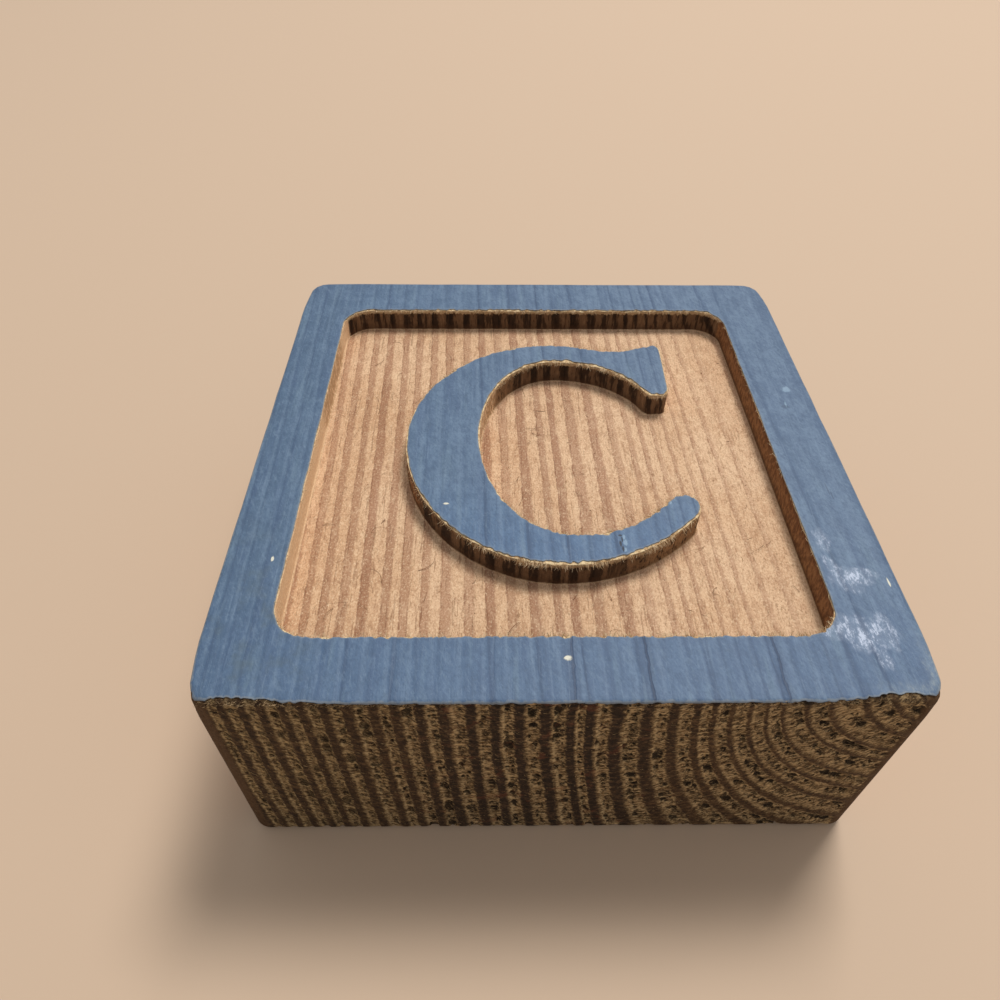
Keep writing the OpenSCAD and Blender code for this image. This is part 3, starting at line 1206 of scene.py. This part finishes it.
# %% Wood
def wood_finish():
    f = Finish("softwood_bare")
    wood_patterns(f)
    sawn, handled = f.mark("sawn"), f.mark("handled")
    held = f.blend(f.hair.ease(0.3, 0.7), srgb(74, 52, 32), srgb(98, 72, 48))
    cream = f.blend(f.strokes.ease(0.4, 0.65), srgb(236, 212, 170), srgb(186, 148, 104))
    grimy = (handled + 0.9 * (f.long_grain - 0.5) + 0.5 * (f.grit - 0.5)).ease(0.3, 0.7)
    colour = f.blend(sawn, side_colour(f), end_colour(f))
    colour = f.blend(grimy * handled.ease(0.0, 0.3), colour, held)
    colour = f.blend(f.mark("torn"), colour, cream)
    colour = f.blend(f.mark("routed"), colour, floor_colour(f))
    colour = f.blend(f.mark("wall"), colour, wall_colour(f))
    end_relief = f.strokes + 0.9 * f.smear - 0.7 * f.tufts - 1.3 * f.pit + 0.4 * f.line
    relief = 0.5 * f.grit + 0.3 * f.hair - 0.15 * f.late + sawn * (1 - handled) * end_relief
    return f.surface({
        "Base Color": colour,
        "Roughness": 0.86 - 0.1 * f.late,
        "Normal": f.bump(relief, 0.9, 0.25),
        "Specular IOR Level": 0.2,
    })


softwood = wood_finish()
block_wood.data.materials.append(softwood)
print("wood finish:", len(softwood.node_tree.nodes), "nodes")

# %% [markdown]
# ## The finish of the paint
#
# The paint is a thin matt grey-blue. It soaked in more in the early wood, so fine light
# and dark streaks follow the grain, and the tops are mottled. The front border shows a
# few dark cracks. Chalky rubs, dents, a chip and pale flecks have their own places on
# the real block, so they are ovals with ragged edges, kept in lists.

# %% Places of the flaws in the paint, as centre and half sizes in mm
FRONT_CRACKS = {0.8: 0.8, 9.8: 1.0, 25.5: 0.9, -20.5: 0.35, -8.6: 0.3, 17.2: 0.3, 31.5: 0.35}
CHALKY = [
    (37.6, -28.4, 2.6, 2.6), (40.0, -27.8, 2.4, 1.8), (33.8, -35.6, 3.2, 2.6), (36.8, -36.8, 2.4, 3.6),
    (39.6, -36.4, 2.0, 3.4), (38.4, -40.6, 1.0, 2.0), (36.9, -37.6, 1.2, 1.8),
    (36.6, -21.4, 1.3, 2.6), (36.2, -25.6, 0.9, 1.6),
]
DENTS = [
    (9.35, -21.0, 0.30, 0.55), (9.45, -22.0, 0.40, 0.8), (9.3, -23.3, 0.30, 0.6),
    (16.9, -14.4, 0.25, 0.6), (12.5, -17.8, 0.25, 0.3), (39.7, 7.9, 0.2, 1.2), (40.9, 12.0, 0.9, 0.9),
]
GASHES = [
    (8.85, -20.7, 0.32, 0.22), (9.05, -21.4, 0.15, 0.6), (8.75, -22.2, 0.20, 0.7), (9.0, -23.1, 0.20, 0.6),
]
NICKS = [(39.6, 7.4, 0.9, 0.55), (40.4, -11.6, 0.16, 1.6), (40.7, -13.0, 0.16, 1.0)]
PALE_FLECKS = [
    (-38.1, -24.8, 0.26, 0.62), (-15.4, -14.6, 0.5, 0.25), (0.25, -40.2, 0.6, 0.4), (43.1, -28.9, 0.16, 0.9),
]
FLAWS = [FRONT_CRACKS, CHALKY, DENTS, GASHES, NICKS, PALE_FLECKS]
print("flaws in the paint:", sum(len(flaws) for flaws in FLAWS))


# %% Colour of the brushed paint
def paint_patterns(f):
    """Gives a finish the several grains of noise that the paint's colours use."""
    f.streak = f.speckle((0.42, 7.0, 1), 3, 0.6)
    f.bands = f.speckle((1.8, 20.0, 2), 3, 0.6)
    f.mottle = f.speckle((2.2, 3.0, 5), 4, 0.65)
    f.grit = f.speckle((0.42, 0.5, 0.42), 3, 0.75)
    f.waver = f.speckle((0.8, 2.6, 1), 3) - 0.5
    slanted = f.node("ShaderNodeCombineXYZ", {}, [f.x + f.y * 0.4, f.y, f.z])
    f.dashes = f.speckle((0.34, 0.95, 1), 4, 0.75, slanted)
    f.blots = f.speckle((1.1, 3.2, 1), 4, 0.7, slanted)


def brushed_paint(f):
    """Grey-blue, deeper along the front and the left, with the wood's rings and streaks."""
    mottled = f.mottle.ease(0.32, 0.68)
    left = f.blend(mottled, srgb(78, 103, 132), srgb(95, 120, 149))
    right = f.blend(mottled, srgb(88, 110, 139), srgb(106, 128, 155))
    ring = f.mark("ring") + 0.2 * f.waver - SHARP_SIDE
    phase = ring.fraction()
    ring_tone = f.per_ring(ring)
    late = phase.ease(0.55, 0.8) * (1 - phase.ease(0.93, 1.0)) * ring_tone
    plainer = 1 - 0.6 * f.x.ease(29, 34) * f.y.ease(-30, -12)
    ring_edge = phase.ease(0.76, 0.88) * (1 - phase.ease(0.90, 1.0)) * plainer
    beside = phase.ease(0.02, 0.10) * (1 - phase.ease(0.14, 0.36))
    deeper = f.y.ease(-8, -22) * f.y.ease(-34, -28) * (1 - f.x.size().ease(26, 30))
    stain = f.speckle((4.0, 5.0, 4), 3, 0.6).ease(0.46, 0.66) * f.x.ease(-24, -38) * f.y.ease(-12, -34)
    return f.glaze(f.blend(f.x.ease(-50, 34), left, right), [
        (f.y.ease(-26, -38) * 0.32, (64, 92, 131)),
        (f.x.ease(-31, -40) * 0.25, (68, 90, 114)),
        (deeper * 0.3, (76, 114, 160)),
        (late * (0.4 + 0.3 * deeper), (62, 86, 120)),
        (ring_edge * (0.15 + 0.6 * ring_tone * ring_tone), (58, 78, 108)),
        (beside * 0.22 * plainer, (124, 146, 172)),
        (f.bands.ease(0.5, 0.66) * 0.4 * plainer, (74, 96, 130)),
        (f.bands.ease(0.46, 0.32) * 0.4 * plainer, (110, 134, 156)),
        (f.streak.ease(0.52, 0.72) * 0.4, (70, 91, 118)),
        (f.streak.ease(0.46, 0.28) * 0.35, (122, 144, 170)),
        (f.dashes.ease(0.50, 0.64) * 0.32, (64, 86, 116)),
        (f.dashes.ease(0.46, 0.32) * 0.24, (128, 150, 174)),
        (f.blots.ease(0.54, 0.66) * 0.35, (72, 92, 122)),
        (f.blots.ease(0.46, 0.34) * 0.25, (118, 140, 164)),
        (f.grit.ease(0.5, 0.66) * 0.3, (66, 88, 112)),
        (f.grit.ease(0.44, 0.3) * 0.2, (128, 150, 174)),
        (stain * 0.5, (84, 100, 110)),
    ])


# %% Paint
def crack(f, x, strength):
    """A dark line along the grain on the front border, with a soft halo."""
    off = (f.x - x + 0.7 * f.waver + 0.2 * (f.grit - 0.5)).size()
    core = (1 - off.ease(0.04, 0.24)) * 0.75
    halo = (1 - off.ease(0.1, 0.9)) * 0.35
    return (core + halo) * (1 - f.y.ease(-36, -33)) * strength


def paint_finish():
    f = Finish("grey_blue_paint")
    paint_patterns(f)
    cracks = sum(crack(f, x, strength) for x, strength in FRONT_CRACKS.items())
    dents = f.spots(DENTS, 1.4)
    flecks = f.spots(PALE_FLECKS, 1.2)
    dots = f.speckle((0.7, 1.6, 1), 5, 0.8).ease(0.46, 0.66)
    edge = f.mark("edge") + 0.5 * (f.speckle((0.5, 0.5, 0.5), 3) - 0.5)
    thinned = (1 - (edge + 1.5 * (f.mottle - 0.5)).ease(0.3, 2.0)) * f.x.ease(34, 41) * f.y.ease(-34, -42)
    colour = f.glaze(brushed_paint(f), [
        (cracks * 0.8, (56, 70, 96)),
        (f.spots(CHALKY, 1.2) * (0.1 + 0.75 * dots), (190, 202, 224)),
        (dents * 0.6, (150, 176, 200)),
        (f.spots(GASHES, 1.0) * 0.8, (46, 44, 48)),
        (f.spots(NICKS, 1.2) * 0.5, (66, 82, 106)),
        (flecks, (222, 220, 204)),
        ((1 - edge.ease(0.02, 0.26)) * 0.55, (142, 146, 148)),
        (thinned * (0.15 + 0.6 * dots), (146, 158, 166)),
    ])
    relief = 0.4 * f.streak + 0.4 * f.grit + 0.6 * f.dashes - 0.9 * cracks - 0.8 * dents + 0.5 * flecks
    return f.surface({
        "Base Color": colour,
        "Roughness": 0.46 + 0.2 * f.mottle,
        "Normal": f.bump(relief, 0.7, 0.12),
        "Specular IOR Level": 0.35,
    })


blue_paint = paint_finish()
for piece in (border_coat, letter_coat):
    piece.data.materials.append(blue_paint)
print("paint finish:", len(blue_paint.node_tree.nodes), "nodes")

# %% [markdown]
# ## The fibres
#
# Each kind of fibre gets a carrier, which is only a place to strew on and is deleted
# afterwards. The fringe grows on the bare strip between the paint and the routed wall and
# leans out over the recess, most where the wall cuts the grain. The tufts stick out below
# the paint's front edge. The fuzz lies across the sawn ends, the way the saw dragged it.
# The nap stands along the grain of the recess floor, and a few hairs lie about on it.

# %% Finishes of the fibres
def fibre_finish(name, pale, deep):
    f = Finish(name)
    tone = f.speckle((0.5, 0.8, 0.5), 2, 0.6)
    return f.surface({
        "Base Color": f.blend(tone.ease(0.35, 0.65), srgb(*pale), srgb(*deep)),
        "Roughness": 0.75 + 0.15 * tone,
        "Specular IOR Level": 0.25,
    })


cream_fibre = fibre_finish("cream_fibre", (230, 206, 170), (178, 144, 104))
edge_fibre = fibre_finish("edge_fibre", (190, 163, 126), (98, 74, 50))
end_fibre = fibre_finish("end_grain_fibre", (172, 144, 106), (86, 64, 42))
dark_hair = fibre_finish("dark_fibre", (140, 100, 68), (104, 70, 44))
print("fibre finishes:", cream_fibre.name, edge_fibre.name, end_fibre.name, dark_hair.name)


# %% Lay fibres on a carrier
def carrier_thing(points, faces, lay, share):
    """A mesh to strew on, with the fibres' direction and their share at each point."""
    mesh = bpy.data.meshes.new("carrier")
    mesh.from_pydata((points / MM).tolist(), [], faces)
    ways = mesh.attributes.new("lay", "FLOAT_VECTOR", "POINT")
    ways.data.foreach_set("vector", lay.astype(np.float32).ravel())
    shares = mesh.attributes.new("share", "FLOAT", "POINT")
    shares.data.foreach_set("value", share.astype(np.float32))
    thing = bpy.data.objects.new("carrier", mesh)
    bpy.context.scene.collection.objects.link(thing)
    return thing


def keep_in_block(mesh):
    """Moves what sticks out of the block's box back onto its sides."""
    limit = np.array([HALF_W, HALF_D, TOP]) / MM
    places = np.empty(len(mesh.vertices) * 3, np.float32)
    mesh.vertices.foreach_get("co", places)
    places = np.clip(places.reshape(-1, 3), [-limit[0], -limit[1], 0], limit)
    mesh.vertices.foreach_set("co", places.ravel())


def fibres(name, carrier, finish, seed, per_mm2, length, thickness, bend, scatter, segments=3):
    """A piece of fibres strewn on a carrier, with lengths in mm."""
    thing = carrier_thing(*carrier)
    modifier = thing.modifiers.new("lay_fibres", "NODES")
    modifier.node_group = lay_fibres
    values = {
        "Fibres per square metre": per_mm2 * MM * MM,
        "Length": length / MM,
        "Thickness": thickness / MM,
        "Bend": bend,
        "Segments": segments,
        "Scatter": scatter,
        "Seed": seed,
        "Finish": finish,
    }
    for item in lay_fibres.interface.items_tree:
        if item.name in values:
            modifier[item.identifier] = values[item.name]
    graph = bpy.context.evaluated_depsgraph_get()
    mesh = bpy.data.meshes.new_from_object(thing.evaluated_get(graph))
    bpy.data.objects.remove(thing)
    mesh.name = name
    keep_in_block(mesh)
    mesh.shade_smooth()
    return place(name, mesh)


# %% Fringe along the routed edges
BELOW_PAINT, BELOW_TOP = 0.02, 0.12
FROM_WALL, UNDER_COAT = 0.03, 0.05


def between_rows(count, closed):
    """Faces between a row of points and a second row that follows it."""
    here = np.arange(count if closed else count - 1)
    ahead = (here + 1) % count
    return np.stack([here, here + count, ahead + count, ahead], axis=1).tolist()


def strip(loop, away, back, side, rise):
    """Carrier for the fringe: the bare strip, the lay of its fibres and how thick they stand."""
    inner = flat(loop + FROM_WALL * away, WOOD_TOP - BELOW_TOP)
    outer = flat(loop + (back + UNDER_COAT)[:, None] * away, WOOD_TOP - BELOW_PAINT)
    cross = np.abs(away[:, 1])
    lay = np.column_stack([-0.5 * away[:, 0], -1.1 * away[:, 1], rise + 0 * cross])
    lay[:, 1] += (1 - cross) * 0.8 * np.where(noise(flat(loop), 1.2, 70 + side) > 0, 1, -1)
    tufted = 0.15 + 0.85 * ease(noise(flat(loop), (1.1, 1.1, 1), 72 + side), -0.3, 0.4)
    share = (0.15 + 0.85 * ease(cross, 0.15, 0.6)) * tufted * (1 - 0.6 * clean_part(loop))
    faces = between_rows(len(loop), closed=True)
    return np.vstack([inner, outer]), faces, np.vstack([lay, lay]), np.concatenate([share, share])


recess_fringe = fibres("recess_fringe", strip(recess_lip, recess_out, recess_back, 0, 0.1), cream_fibre,
                       seed=11, per_mm2=70, length=0.9, thickness=0.05, bend=0.25, scatter=0.55)
letter_fringe = fibres("letter_fringe", strip(letter_lip, -letter_out, letter_back, 1, -0.5), cream_fibre,
                       seed=12, per_mm2=74, length=1.05, thickness=0.05, bend=-0.25, scatter=0.6)

# %% Tufts under the paint's front edge
FRONT_REACH = 0.4
TUFT_DEPTH, TUFT_BAND = 0.04, 0.55
BAND_DEPTH = 0.07


def front_strip():
    """Carrier for the tufts that stick out just below the paint along the front edge."""
    front = np.flatnonzero(outer_loop[:, 1] < FRONT_REACH - HALF_D)
    front = front[np.argsort(outer_loop[front, 0])]
    angle = np.radians(lap[front])
    inset = worn[front] * (1 - np.sin(angle)) + TUFT_DEPTH
    height = WOOD_TOP - worn[front] * (1 - np.cos(angle))
    edge = np.column_stack([outer_loop[front, 0], inset - HALF_D, height])
    below = np.column_stack([edge[:, 0], np.full(len(front), BAND_DEPTH - HALF_D), height - TUFT_BAND])
    way = np.where(edge[:, 0] > 5, 1.0, -1.0) * np.sign(noise(edge, 4, 81) + 0.5)
    lay = np.column_stack([way, 0 * way - 0.2, 0 * way - 0.25])
    clumps = ease(noise(edge, (1.7, 9, 9), 82) + 0.35 * ease(-edge[:, 0], 0, 20), 0.0, 0.5)
    clumps = clumps * (1 - 0.65 * ease(np.abs(edge[:, 0]), 27, 36))
    faces = between_rows(len(front), closed=False)
    return np.vstack([edge, below]), faces, np.vstack([lay, lay]), np.concatenate([clumps, clumps])


front_tufts = fibres("front_tufts", front_strip(), edge_fibre,
                     seed=13, per_mm2=40, length=0.9, thickness=0.06, bend=0.25, scatter=0.7)

# %% Fuzz on the sawn ends
def chosen(faces, wanted):
    """The faces whose points are all wanted."""
    return [face for face in faces if all(wanted[corner] for corner in face)]


FUZZ_BELOW_TOP, FUZZ_ABOVE_BASE = 0.3, 1.5
upright = (points[:, 2] < WOOD_TOP - FUZZ_BELOW_TOP) & (points[:, 2] > FUZZ_ABOVE_BASE)
end_faces = chosen(wood.faces, (kind == OUTSIDE) & (facing_end > 0.9) & upright)
fuzz_share = (0.3 + 0.7 * early) * (1 - handled) * np.where(points[:, 1] < 0, 1.0, 0.3)
fuzz_lay = np.column_stack([np.ones(len(points)), -0.12 * push[:, 1], 0.018 * points[:, 0] - 0.1])
end_fuzz = fibres("end_fuzz", (points, end_faces, fuzz_lay, fuzz_share), end_fibre,
                  seed=21, per_mm2=2.4, length=0.9, thickness=0.06, bend=0.2, scatter=0.5)

# %% Hairs and nap on the recess floor
HAIR_LIFT = 0.09
floor_faces = chosen(wood.faces, kind == RECESS)
even, level = np.ones(len(points)), np.zeros(len(points))
hair_lay = np.column_stack([noise(points, 6, 76), noise(points, 6, 77), level])
floor_hairs = fibres("floor_hairs", (points + [0, 0, HAIR_LIFT], floor_faces, hair_lay, even), dark_hair,
                     seed=31, per_mm2=0.03, length=3.6, thickness=0.045, bend=0.5, scatter=0.15, segments=10)
nap_lay = np.column_stack([0.3 * noise(points, 2, 78), np.sign(noise(points, 3, 79)), level + 0.1])
floor_nap = fibres("floor_nap", (points, floor_faces, nap_lay, 0.4 + 0.6 * early), cream_fibre,
                   seed=32, per_mm2=1.3, length=0.7, thickness=0.04, bend=0.2, scatter=0.35)

# %% [markdown]
# ## Floor, light and camera
#
# The block stands on a plain pale surface. Soft light comes from behind and above, as in
# the photograph, with a plain world that fills the shadows.

# %% Pale floor
STAGE_HALF, STAGE_DROP = 2500.0, 0.02


def floor_finish():
    f = Finish("pale_floor")
    return f.surface({"Base Color": srgb(205, 180, 156), "Roughness": 0.7})


stage_corners = STAGE_HALF * np.array([(-1, -1), (1, -1), (1, 1), (-1, 1)])
stage_floor = make_piece("stage_floor", flat(stage_corners, -STAGE_DROP), [(0, 1, 2, 3)], {})
stage_floor.data.materials.append(floor_finish())

# %% World and lamps
WORLD_COLOUR, WORLD_LEVEL = (1.0, 0.985, 0.965, 1.0), 0.43
world = bpy.data.worlds.new("soft_room")
bpy.context.scene.world = world
world.use_nodes = True
background = world.node_tree.nodes["Background"].inputs
background["Color"].default_value = WORLD_COLOUR
background["Strength"].default_value = WORLD_LEVEL


def lamp(name, towards, distance, size, level, colour):
    """A square area lamp whose light alone would show colours at the given level."""
    data = bpy.data.lights.new(name, "AREA")
    data.size = size
    data.energy = level * math.pi ** 2 * distance ** 2
    data.color = colour
    thing = bpy.data.objects.new(name, data)
    thing.location = Vector(towards).normalized() * distance
    thing.rotation_euler = thing.location.to_track_quat("Z", "Y").to_euler()
    bpy.context.scene.collection.objects.link(thing)
    return thing


back_lamp = lamp("lamp_behind_right", towards=(0.38, 0.58, 1.50), distance=2.0, size=0.60,
                 level=0.74, colour=(1.0, 0.97, 0.92))
print("world and one lamp of", round(back_lamp.data.energy, 1), "W")

# %% [markdown]
# The camera's place, turn and focal length were worked out from the corners of the block
# in the photograph, whose width is a thousand pixels.

# %% Camera
PICTURE_WIDTH = 1000
SENSOR_WIDTH = 36
NEAREST = 0.005
FOCAL_PIXELS = 751.8
PITCH, YAW, ROLL = 0.80191, -0.018656, -0.013123
CAMERA_AT = Vector((-9.055, -89.12, 77.73 + TOP)) / MM


def camera_turn(pitch, yaw, roll):
    """Rotation of a camera that looks along +Y, tipped down, turned and rolled."""
    right = Vector((1, 0, 0))
    down = Vector((0, -math.sin(pitch), -math.cos(pitch)))
    ahead = Vector((0, math.cos(pitch), -math.sin(pitch)))
    turn = Matrix.Rotation(yaw, 3, "Z")
    right, down, ahead = turn @ right, turn @ down, turn @ ahead
    rolled_right = math.cos(roll) * right + math.sin(roll) * down
    rolled_down = math.cos(roll) * down - math.sin(roll) * right
    return Matrix((rolled_right, -rolled_down, -ahead)).transposed()


camera_data = bpy.data.cameras.new("photo_camera")
camera_data.sensor_width = SENSOR_WIDTH
camera_data.sensor_fit = "HORIZONTAL"
camera_data.lens = FOCAL_PIXELS * SENSOR_WIDTH / PICTURE_WIDTH
camera_data.clip_start = NEAREST
camera = bpy.data.objects.new("photo_camera", camera_data)
camera.matrix_world = Matrix.LocRotScale(CAMERA_AT, camera_turn(PITCH, YAW, ROLL), None)
bpy.context.scene.collection.objects.link(camera)
bpy.context.scene.camera = camera
bpy.context.scene.view_settings.view_transform = "Standard"
print("camera at", tuple(round(part, 4) for part in CAMERA_AT))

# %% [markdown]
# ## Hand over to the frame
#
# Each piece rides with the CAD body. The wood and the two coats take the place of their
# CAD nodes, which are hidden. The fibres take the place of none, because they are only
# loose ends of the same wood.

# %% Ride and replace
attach(block_wood, "root")
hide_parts("block_body")
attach(border_coat, "root")
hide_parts("border_paint")
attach(letter_coat, "root")
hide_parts("letter_paint")
for piece in (recess_fringe, letter_fringe, front_tufts, end_fuzz, floor_hairs, floor_nap):
    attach(piece, "root")
